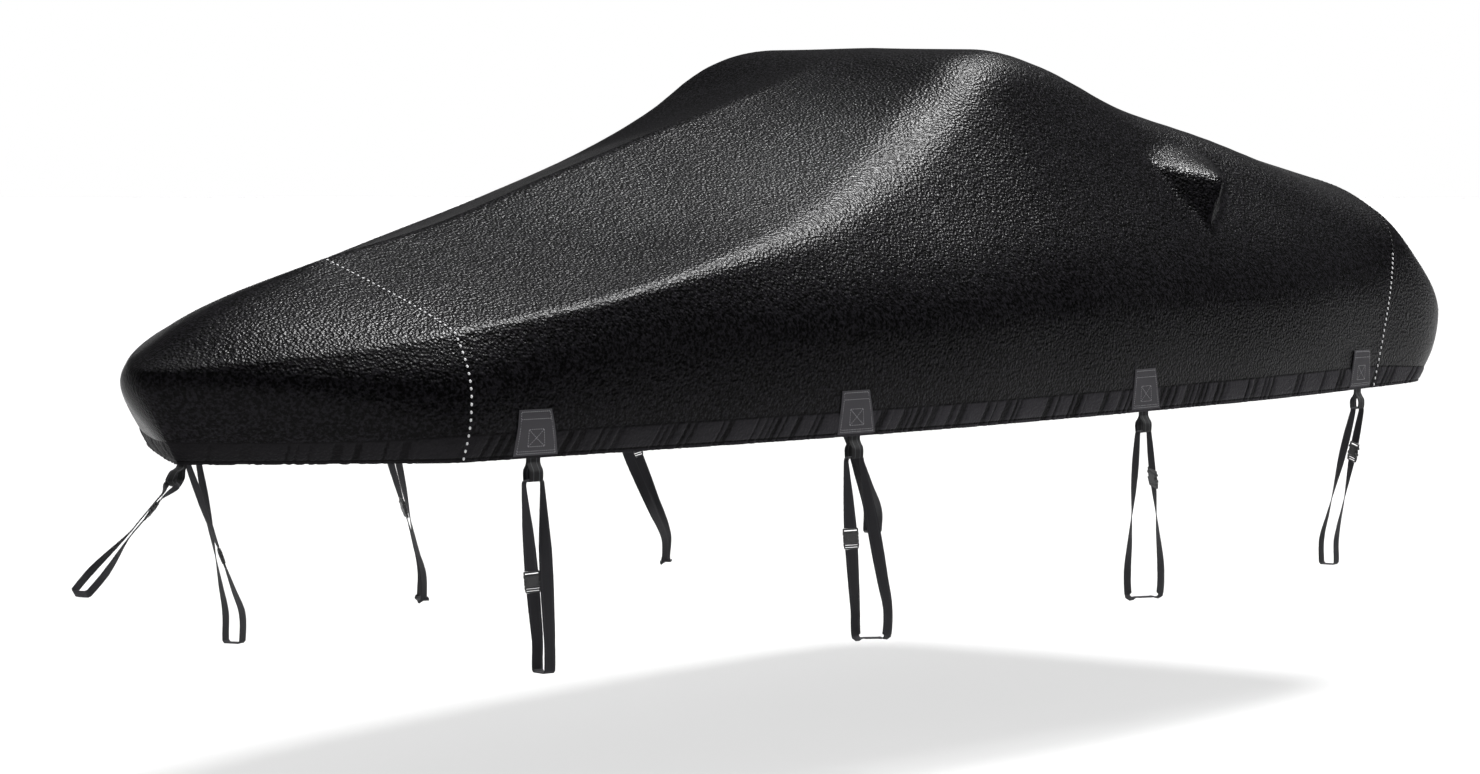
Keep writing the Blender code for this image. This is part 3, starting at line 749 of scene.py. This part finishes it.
def loop(name, hang, width, finish):
    """A webbing loop: two tails inside the hem that part below it, open round the strap."""
    apart = (WEB + GAP) / 2
    path = [(hang.origin + hang.rise * LOOP_TAIL, apart)]
    bend = (hang.origin + hang.rise * 0.008, hang.origin, hang.origin + hang.down * 0.012)
    for t in (0.0, 0.25, 0.5, 0.75, 1.0):
        path.append((Vector(bezier([tuple(point) for point in bend], t)), apart + 0.0005 * t))
    drops = (0.020, 0.034, LOOP_DROP - 0.004, LOOP_DROP)
    halves = (0.005, LOOP_HALF_OPEN, LOOP_HALF_OPEN, LOOP_HALF_OPEN - 0.002)
    path += [(hang.origin + hang.down * drop, half) for drop, half in zip(drops, halves)]
    there, back = [], []
    for i, (centre, half) in enumerate(path):
        ahead = (path[min(i + 1, len(path) - 1)][0] - path[max(i - 1, 0)][0]).normalized()
        aside = ahead.cross(hang.along).normalized() * half
        there.append(Stop(centre + aside, hang.along, width))
        back.append(Stop(centre - aside, hang.along, width))
    stops = there + back[::-1]
    ribbon(name + "_webbing", name, stops, WEB * DRAWN, LOOP_STEP, finish)


def loop_seat(hang):
    """The middle of a strap where it rests in the bottom of its loop."""
    return hang.origin + hang.down * (LOOP_DROP - WEB / 2 - GAP * 1.5 - STRAP / 2)


def buckle_length(size):
    return size.socket + size.latch + 3 * GAP


def facing(direction, toward):
    """The direction or its opposite, whichever turns toward the given one."""
    return direction if direction.dot(toward) > 0 else -direction


def over_loop(seat, along, down, across, half):
    """Stops of a strap over its loop, from one leg to the other, from its half's places aside and down."""
    places = [(-aside, drop) for aside, drop in reversed(half)] + list(half)
    return [Stop(seat + along * aside + down * drop, across, STRAP_NARROW) for aside, drop in places]


def side_strap(name, strap, side, hang, webbing, plastic):
    """A side strap: over its loop, down both legs and round the trailer's rail."""
    seat = loop_seat(hang)
    out = facing(hang.down.cross(hang.along).normalized(), Vector((0, side, 0)))
    hand = hang.along * -strap.buckle_leg

    def at_rail(share_out, share_along, level):
        place = world((strap.rail_aft, strap.rail_out, level), side)
        place += out * (RAIL_HALF * share_out * -strap.buckle_leg) + hand * (strap.spread * share_along)
        return Stop(place, hand, STRAP_WIDE)

    top = over_loop(seat, hand, hang.down, out, SIDE_OVER_LOOP)
    other = top[-1], at_rail(1.0, 1.0, RAIL_TOP)
    buckled = top[0], at_rail(-1.0, -1.0, RAIL_TOP)
    bottom = [
        at_rail(share, share * 0.9, RAIL_FOOT + 0.006 * (abs(share) == 1.0))
        for share in (1.0, 0.8, 0.6, -0.6, -0.8, -1.0)
    ]
    reach = buckle_length(SIDE_BUCKLE) / (buckled[0].centre - buckled[1].centre).length
    near, far = strap.buckle_at - reach / 2, strap.buckle_at + reach / 2
    stops = leg(*buckled, (near, near / 2)) + top + leg(*other, (0.2, 0.4, 0.6, 0.8, 1.0))
    stops += bottom + leg(*buckled, (1.0, (1 + far) / 2, far))
    ribbon(name + "_webbing", name, stops, STRAP * DRAWN, STRAP_STEP, webbing)
    away = (buckled[1].centre - buckled[0].centre).normalized()
    middle = leg(*buckled, (strap.buckle_at,))[0]
    buckle(name + "_buckle", stops[0].centre, away, middle.across, SIDE_BUCKLE, plastic)


def bow_strap(name, hang, webbing, plastic):
    """The bow strap: over the stem loop, its legs close together and edge on, then round the post."""
    seat = loop_seat(hang)
    foot = world(BOW_FOOT)
    away = (foot - seat).normalized()
    reach = (foot - seat).length
    flat = away.cross(hang.along).normalized()
    edge = Vector(BOW_EDGE_ON)
    edge = facing((edge - away * edge.dot(away)).normalized(), flat)
    face = facing(away.cross(edge), Vector((0, 1, 0)))
    across_loop = facing(hang.down.cross(hang.along).normalized(), flat)

    def close(hand, distance):
        return Stop(seat + away * distance + face * (BOW_LEG_APART * hand), edge, BOW_WIDE)

    def at_post(aside, distance):
        return Stop(seat + away * distance + hang.along * aside, flat, BOW_WIDE)

    behind, before = reach - POST_DEPTH, reach - 0.005
    buckle_to = BOW_BUCKLE_FROM + buckle_length(BOW_BUCKLE)
    stops = [close(-1, BOW_BUCKLE_FROM), close(-1, LEGS_MEET)]
    stops += over_loop(seat, hang.along, hang.down, across_loop, BOW_OVER_LOOP)
    stops += [close(1, LEGS_MEET), close(1, BOW_BUCKLE_FROM), close(1, buckle_to + 0.01)]
    stops += [close(1, LEGS_PART), at_post(POST_HALF, behind), at_post(POST_HALF, before)]
    stops += [at_post(POST_HALF - 0.005, reach), at_post(0.005 - POST_HALF, reach)]
    stops += [at_post(-POST_HALF, before), at_post(-POST_HALF, behind)]
    stops += [close(-1, LEGS_PART), close(-1, buckle_to + 0.01), close(-1, buckle_to)]
    ribbon(name + "_webbing", name, stops, STRAP * DRAWN, STRAP_STEP, webbing)
    buckle(name + "_buckle", stops[0].centre, away, edge, BOW_BUCKLE, plastic)


def rounded(corners, radius, steps=4):
    """A closed outline with its corners rounded."""
    outline = []
    for i, corner in enumerate(corners):
        here = np.array(corner, float)
        before = np.array(corners[i - 1], float) - here
        after = np.array(corners[(i + 1) % len(corners)], float) - here
        reach = min(radius, norm(before) * 0.49, norm(after) * 0.49)
        enter, leave = here + unit(before) * reach, here + unit(after) * reach
        outline += [tuple(bezier((enter, here, leave), t)) for t in np.linspace(0, 1, steps)]
    return outline


def box(middle, half, low, high, radius):
    left, right = middle - half, middle + half
    return rounded([(left, low), (right, low), (right, high), (left, high)], radius)


def plate(shell, outlines, thickness, bevel, level=0.0):
    """Adds a moulded plate at a level: its outlines are its edge and then its openings."""
    data = with_settings(
        bpy.data.curves.new("Outline", "CURVE"), dimensions="2D", fill_mode="BOTH",
        extrude=thickness / 2 - bevel, bevel_depth=bevel, bevel_resolution=2, offset=-bevel,
    )
    for outline in outlines:
        line = data.splines.new("POLY")
        line.points.add(len(outline) - 1)
        for point, (x, y) in zip(line.points, outline):
            point.co = (x, y, 0, 1)
        line.use_cyclic_u = True
    source = bpy.data.objects.new("Outline", data)
    mesh = bpy.data.meshes.new_from_object(source)
    mesh.transform(Matrix.Translation((0, 0, level)))
    shell.from_mesh(mesh)
    bpy.data.objects.remove(source)
    bpy.data.curves.remove(data)
    bpy.data.meshes.remove(mesh)


def mirrored(half):
    """A closed outline from its right half, low end first."""
    return half + [(-x, y) for x, y in reversed(half)]


# The halves of a buckle are drawn with x across the strap and y down it from the half's upper end

def socket_plates(shell, size):
    """The upper half: a bar for the webbing, and a hollow body with a window at each side."""
    half, top, thick = size.width / 2, size.socket, size.thickness
    plate(shell, [
        box(0.0, half - 0.001, 0.0004, 0.014, 0.0025),
        box(0.0, half - 0.005, 0.0042, 0.0092, 0.0012),
    ], thick * 0.5, 0.0008)
    body = mirrored([
        (half - 0.003, 0.011), (half - 0.0004, 0.0135), (half - 0.0002, 0.0185), (half - 0.006, 0.0205),
        (half - 0.0066, 0.03), (half - 0.001, 0.0325), (half - 0.0004, top - 0.0035),
        (half - 0.003, top - 0.0004),
    ])
    raised = box(0.0, half * 0.42, 0.015, top - 0.006, 0.003)
    hollow = box(0.0, half * 0.34, 0.0172, top - 0.0082, 0.0022)
    for hand in (1, -1):
        plate(shell, [body], thick * 0.26, 0.001, hand * thick * 0.36)
        plate(shell, [raised, hollow], 0.001, 0.0003, hand * thick * 0.485)
        for low, high in ((0.012, 0.019), (0.0318, top - 0.0008)):
            window = box(hand * (half - 0.0035), 0.0027, low, high, 0.0012)
            plate(shell, [window], thick * 0.8, 0.0008)


def latch_plates(shell, size):
    """The lower half: two bars for the webbing, a shoulder, a middle guide and two side prongs."""
    half, top, thick = size.width / 2, size.latch, size.thickness
    plate(shell, [
        rounded(
            mirrored([(half - 0.0008, 0.0006), (half - 0.0004, 0.007), (half - 0.003, top - 0.0006)]), 0.003
        ),
        box(0.0, half - 0.0055, 0.0062, 0.0096, 0.001),
        box(0.0, half - 0.0055, 0.0128, 0.0164, 0.001),
    ], thick * 0.55, 0.0008)
    plate(shell, [box(0.0, half - 0.0016, 0.0006, 0.0046, 0.0015)], thick * 0.92, 0.001)
    plate(shell, [box(0.0, 0.003, -0.019, 0.002, 0.0012)], thick * 0.4, 0.0006)
    prong = [
        (half - 0.01, 0.002), (half - 0.005, 0.002), (half - 0.0046, -0.008), (half - 0.0006, -0.012),
        (half - 0.0008, -0.019), (half - 0.005, -0.0222), (half - 0.0082, -0.02),
        (half - 0.0072, -0.013), (half - 0.0082, -0.008),
    ]
    for outline in (prong, [(-x, y) for x, y in reversed(prong)]):
        plate(shell, [rounded(outline, 0.0014)], thick * 0.42, 0.0007)


def buckle(name, upper_end, away, across, size, finish):
    """A side-release buckle down a strap's leg, its prongs in the socket's windows."""
    across = (across - away * across.dot(away)).normalized()
    turn = Matrix((across, away, across.cross(away))).transposed().to_4x4()
    start = GAP
    for half, length, plates in (("socket", size.socket, socket_plates), ("latch", size.latch, latch_plates)):
        shell = bmesh.new()
        plates(shell, size)
        bmesh.ops.remove_doubles(shell, verts=shell.verts, dist=1e-6)
        bmesh.ops.recalc_face_normals(shell, faces=shell.faces)
        mesh = mesh_of(shell, name)
        mesh.transform(Matrix.Translation(upper_end + away * start) @ turn)
        mesh.shade_flat()
        make_piece(f"{name}_{half}_moulding", mesh, finish, f"{name}_{half}")
        start += length + GAP


# ---- materials

def set_stops(ramp, stops):
    """Sets a colour ramp's stops from pairs of a position and a grey level."""
    while len(ramp.elements) < len(stops):
        ramp.elements.new(0.5)
    for element, (position, level) in zip(ramp.elements, stops):
        element.position = position
        element.color = (level, level, level, 1)


class Shader:
    """A node material that is put together step by step."""

    def __init__(self, name):
        self.material = bpy.data.materials.new(name)
        self.material.use_nodes = True
        self.tree = self.material.node_tree
        self.surface = self.tree.nodes["Principled BSDF"]
        self.coordinates = self.add("TexCoord").outputs["Object"]

    def add(self, kind, inputs=None, **settings):
        node = with_settings(self.tree.nodes.new("ShaderNode" + kind), **settings)
        for key, value in (inputs or {}).items():
            self.put(node.inputs[key], value)
        return node

    def put(self, socket, value):
        if isinstance(value, bpy.types.NodeSocket):
            self.tree.links.new(value, socket)
        else:
            socket.default_value = value

    def set(self, **values):
        for key, value in values.items():
            self.put(self.surface.inputs[key.replace("_", " ")], value)

    def math(self, operation, *values, clamp=False):
        node = self.add("Math", operation=operation, use_clamp=clamp)
        for socket, value in zip(node.inputs, values):
            self.put(socket, value)
        return node.outputs[0]

    def total(self, start, *parts):
        """A start value plus each part's value times its share."""
        for value, share in parts:
            start = self.math("ADD", self.math("MULTIPLY", value, share), start)
        return start

    def ramp(self, value, *stops):
        node = self.add("ValToRGB", {"Fac": value})
        set_stops(node.color_ramp, stops)
        return node.outputs["Color"]

    def mix(self, share, first, second):
        node = self.add("Mix", data_type="RGBA")
        self.put(node.inputs["Factor"], share)
        for socket, value in ((node.inputs["A"], first), (node.inputs["B"], second)):
            self.put(socket, (*value, 1) if isinstance(value, tuple) else value)
        return node.outputs["Result"]

    def noise(self, scale, detail, roughness):
        inputs = {"Vector": self.coordinates, "Scale": scale, "Detail": detail, "Roughness": roughness}
        return self.add("TexNoise", inputs).outputs["Fac"]

    def cells(self, scale, smooth=0.0):
        inputs = {"Vector": self.coordinates, "Scale": scale}
        node = self.add("TexVoronoi", inputs, feature="SMOOTH_F1" if smooth else "F1")
        if smooth:
            node.inputs["Smoothness"].default_value = smooth
        return node.outputs["Distance"]

    def attribute(self, name):
        return self.add("Attribute", attribute_name=name).outputs["Fac"]

    def bump(self, height, strength, distance, under=None):
        inputs = {"Height": height, "Strength": strength, "Distance": distance}
        if under:
            inputs["Normal"] = under
        return self.add("Bump", inputs).outputs["Normal"]


def coated_polyester():
    """Black coated cloth: a pebbled, slightly shiny face with painted light on its pebble tops and painted
    shade in their hollows, duller and greyer in the gathered hem, where its tucks get painted shade.
    """
    mat = Shader("Coated_polyester")
    band, crease = mat.attribute("Band"), mat.attribute("Painted_shade")
    mottle = mat.ramp(mat.noise(1.7, 3.0, 0.55), (0.35, 0.0), (0.68, 1.0))
    pebbles = mat.cells(118.0, 0.2)
    grit = mat.noise(98.0, 2.0, 0.6)
    # Painted light and shade of the grain: the colour is lighter where the grit noise raises the bump and
    # darker in its hollows
    painted_pebble_light = mat.ramp(grit, (0.44, 0.0), (0.6, 1.0))
    body = mat.mix(painted_pebble_light, (0.0006, 0.0006, 0.0007), (0.0084, 0.0078, 0.0096))
    # The hem's own grey, taken toward near black by the painted shade of its tucks, groove, foot and bow end
    hem = mat.mix(crease, (0.03, 0.0285, 0.0325), (0.0012, 0.0011, 0.0013))
    # The nose faces the pale floor and is duller, evenly less so to 0.15 m behind the bow tip
    parts = mat.add("SeparateXYZ", {"Vector": mat.coordinates})
    nose = mat.ramp(mat.math("ADD", parts.outputs["X"], 3.6), (0.3, 1.0), (0.52, 0.0))
    rough = mat.total(0.22, (mottle, 0.06), (grit, 0.16), (nose, 0.5), (band, 0.2))
    grain = mat.bump(grit, 0.62, 0.0022, mat.bump(pebbles, 0.66, 0.0028))
    wrinkles = mat.bump(mat.noise(24.0, 4.0, 0.6), 0.3, 0.0016, grain)
    waves = mat.bump(mat.noise(2.6, 2.0, 0.5), 0.35, 0.006, wrinkles)
    mat.set(Base_Color=mat.mix(band, body, hem), Roughness=rough, IOR=1.15, Normal=waves)
    return mat.material


def tab_cloth():
    """Dark grey close-woven patch cloth."""
    mat = Shader("Tab_cloth")
    wear = mat.noise(9.0, 4.0, 0.6)
    speckle = mat.noise(420.0, 2.0, 0.5)
    colour = mat.mix(wear, (0.034, 0.032, 0.037), (0.05, 0.048, 0.054))
    colour = mat.mix(mat.math("MULTIPLY", speckle, 0.35), colour, (0.085, 0.082, 0.09))
    weave = mat.bump(wear, 0.3, 0.003, mat.bump(mat.cells(620.0), 0.5, 0.0006))
    rough = mat.total(0.66, (speckle, 0.15))
    mat.set(Base_Color=colour, Roughness=rough, Specular_IOR_Level=0.25, Normal=weave)
    return mat.material


def webbing_cloth(name, dark, light, stripe_at, width):
    """Ribbed webbing: cross ribs along it, and paler lines at set distances from its middle."""
    mat = Shader(name)
    across, along = mat.attribute("Across"), mat.attribute("Along")
    ribs = mat.math("SINE", mat.math("MULTIPLY", along, math.tau / 0.0022))
    cords = mat.math("SINE", mat.math("MULTIPLY", across, math.tau / 0.003))
    offset = mat.math("ABSOLUTE", mat.math("SUBTRACT", mat.math("ABSOLUTE", across), stripe_at))
    stripe = mat.math("SUBTRACT", 1.0, mat.math("DIVIDE", offset, width), clamp=True)
    fuzz = mat.noise(260.0, 3.0, 0.6)
    tone = mat.mix(mat.math("MULTIPLY", fuzz, 0.6), dark, tuple(value * 1.5 for value in dark))
    weave = mat.math("MULTIPLY", mat.math("ADD", ribs, 1.0), mat.math("ADD", cords, 1.6))
    mat.set(Base_Color=mat.mix(stripe, tone, light), Roughness=mat.total(0.62, (fuzz, 0.15)))
    mat.set(Specular_IOR_Level=0.25, Normal=mat.bump(weave, 0.7, 0.0004))
    return mat.material


def thread(name, colour):
    """Twisted sewing thread."""
    mat = Shader(name)
    strands = mat.noise(900.0, 1.0, 0.5)
    mat.set(Base_Color=mat.mix(strands, tuple(value * 0.8 for value in colour), colour), Roughness=0.6)
    mat.set(Specular_IOR_Level=0.3, Normal=mat.bump(strands, 0.4, 0.0004))
    return mat.material


def moulded_plastic():
    """Black moulded plastic with a fine grain, a little worn on its faces."""
    mat = Shader("Buckle_plastic")
    wear = mat.noise(60.0, 3.0, 0.6)
    mat.set(Base_Color=mat.mix(wear, (0.0075, 0.0075, 0.008), (0.013, 0.013, 0.014)))
    grain = mat.bump(mat.noise(1300.0, 2.0, 0.5), 0.25, 0.0002)
    mat.set(Roughness=mat.total(0.32, (wear, 0.16)), Normal=grain)
    return mat.material


def floor_paint():
    """The plain pale floor."""
    mat = Shader("Studio_floor")
    colour = mat.mix(mat.noise(0.6, 2.0, 0.5), (0.64, 0.64, 0.64), (0.655, 0.655, 0.655))
    mat.set(Base_Color=colour, Roughness=0.9, Specular_IOR_Level=0.1)
    return mat.material


# ---- the pieces

cloth = coated_polyester()
patch = tab_cloth()
tape = webbing_cloth("Loop_webbing", (0.008, 0.008, 0.0088), (0.06, 0.06, 0.066), 0.0095, 0.0024)
webbing = webbing_cloth("Strap_webbing", (0.019, 0.0185, 0.0215), (0.034, 0.033, 0.037), 0.0125, 0.0022)
plastic = moulded_plastic()
white = thread("White_thread", (0.74, 0.74, 0.75))
grey = thread("Grey_thread", (0.24, 0.24, 0.25))
black = thread("Black_thread", (0.012, 0.012, 0.013))

panel("bow_cloth", "bow_panel", 0.0, 1.0 - NEXT, 11, cloth)
panel("main_cloth", "main_panel", 1.0, 2.0, 23, cloth)
panel("stern_cloth", "stern_panel", 2.0 + NEXT, 3.0, 37, cloth)

front_seam = seam_places(1.0 + BESIDE_SEAM, FRONT_STEP)
stern_seam = seam_places(2.0 - BESIDE_SEAM, STERN_STEP)
side_stitches = [place for place in stern_seam if place[0].z < STITCHES_TOP]
back_stitches = [place for place in stern_seam if place[0].z >= STITCHES_TOP]
beads("front_seam_stitches", front_seam, FRONT_STITCH, white)
beads("stern_seam_stitches", side_stitches, STERN_STITCH, white)
beads("stern_seam_dark_stitches", back_stitches, DARK_STITCH, black)

stem = stem_hang()
loop("stem_loop", stem, STEM_LOOP_WIDTH, tape)
bow_strap("bow_strap", stem, webbing, plastic)
for side, hand in ((-1, "port"), (1, "starboard")):
    for number, strap in enumerate(SIDE_STRAPS, start=1):
        hang = side_hang(station_at_aft(strap.tab_aft), side)
        tab(f"tab_{hand}_{number}_patch", f"tab_{hand}_{number}", strap.tab_aft, side, patch, grey)
        loop(f"loop_{hand}_{number}", hang, LOOP_WIDTH, tape)
        side_strap(f"strap_{hand}_{number}", strap, side, hang, webbing, plastic)

# ---- floor, light and camera

FLOOR_Z = -2.035
FLOOR_RADIUS = 70.0
disc = bmesh.new()
floor_place = Matrix.Translation((0, 0, FLOOR_Z))
bmesh.ops.create_circle(disc, cap_ends=True, segments=96, radius=FLOOR_RADIUS, matrix=floor_place)
floor = add_object("Floor", mesh_of(disc, "Floor"))
floor.data.materials.append(floor_paint())

# The sky by height: white to the horizon, dark above it and paler overhead
SKY_STOPS = ((0.0, 1.0), (0.035, 1.0), (0.10, 0.05), (0.55, 0.06), (0.85, 0.24))
sky = bpy.data.worlds.new("Studio")
sky.use_nodes = True
nodes, links = sky.node_tree.nodes, sky.node_tree.links
kinds = ("TexCoord", "SeparateXYZ", "ValToRGB")
direction, height, dome = (nodes.new("ShaderNode" + kind) for kind in kinds)
set_stops(dome.color_ramp, SKY_STOPS)
links.new(direction.outputs["Generated"], height.inputs[0])
links.new(height.outputs["Z"], dome.inputs["Fac"])
links.new(dome.outputs["Color"], nodes["Background"].inputs["Color"])
nodes["Background"].inputs["Strength"].default_value = 1.0
bpy.context.scene.world = sky
bpy.context.scene.view_settings.view_transform = "Standard"


def lamp(name, kind, direction, distance, **settings):
    """A light that shines on the cover from a direction."""
    light = add_object(name, with_settings(bpy.data.lights.new(name, kind), **settings))
    away = Vector(direction).normalized()
    light.location = Vector((0.0, 0.0, -0.5)) + away * distance
    light.rotation_euler = away.to_track_quat("Z", "Y").to_euler()


# Only a part of the key light casts a shadow, which stays pale on the floor
KEY_FROM, KEY_ANGLE = (0.53, 0.0, 0.85), math.radians(14.0)
for name, energy, shadow in (("Key", 2.0, True), ("Key_fill", 4.0, False)):
    lamp(name, "SUN", KEY_FROM, 0.0, energy=energy, angle=KEY_ANGLE, use_shadow=shadow)
lamp("Top", "AREA", (-0.08, -0.30, 0.95), 9.0, shape="RECTANGLE", size=1.8, size_y=1.8, energy=150.0)

lens = dict(lens=109.46, sensor_width=36.0, sensor_fit="HORIZONTAL", clip_end=200.0)
camera = add_object("Camera", with_settings(bpy.data.cameras.new("Camera"), **lens))
camera.location = (-11.46, -7.839, -0.145)
camera.rotation_euler = (math.radians(86.29), 0.0, math.radians(-54.0))
bpy.context.scene.camera = camera
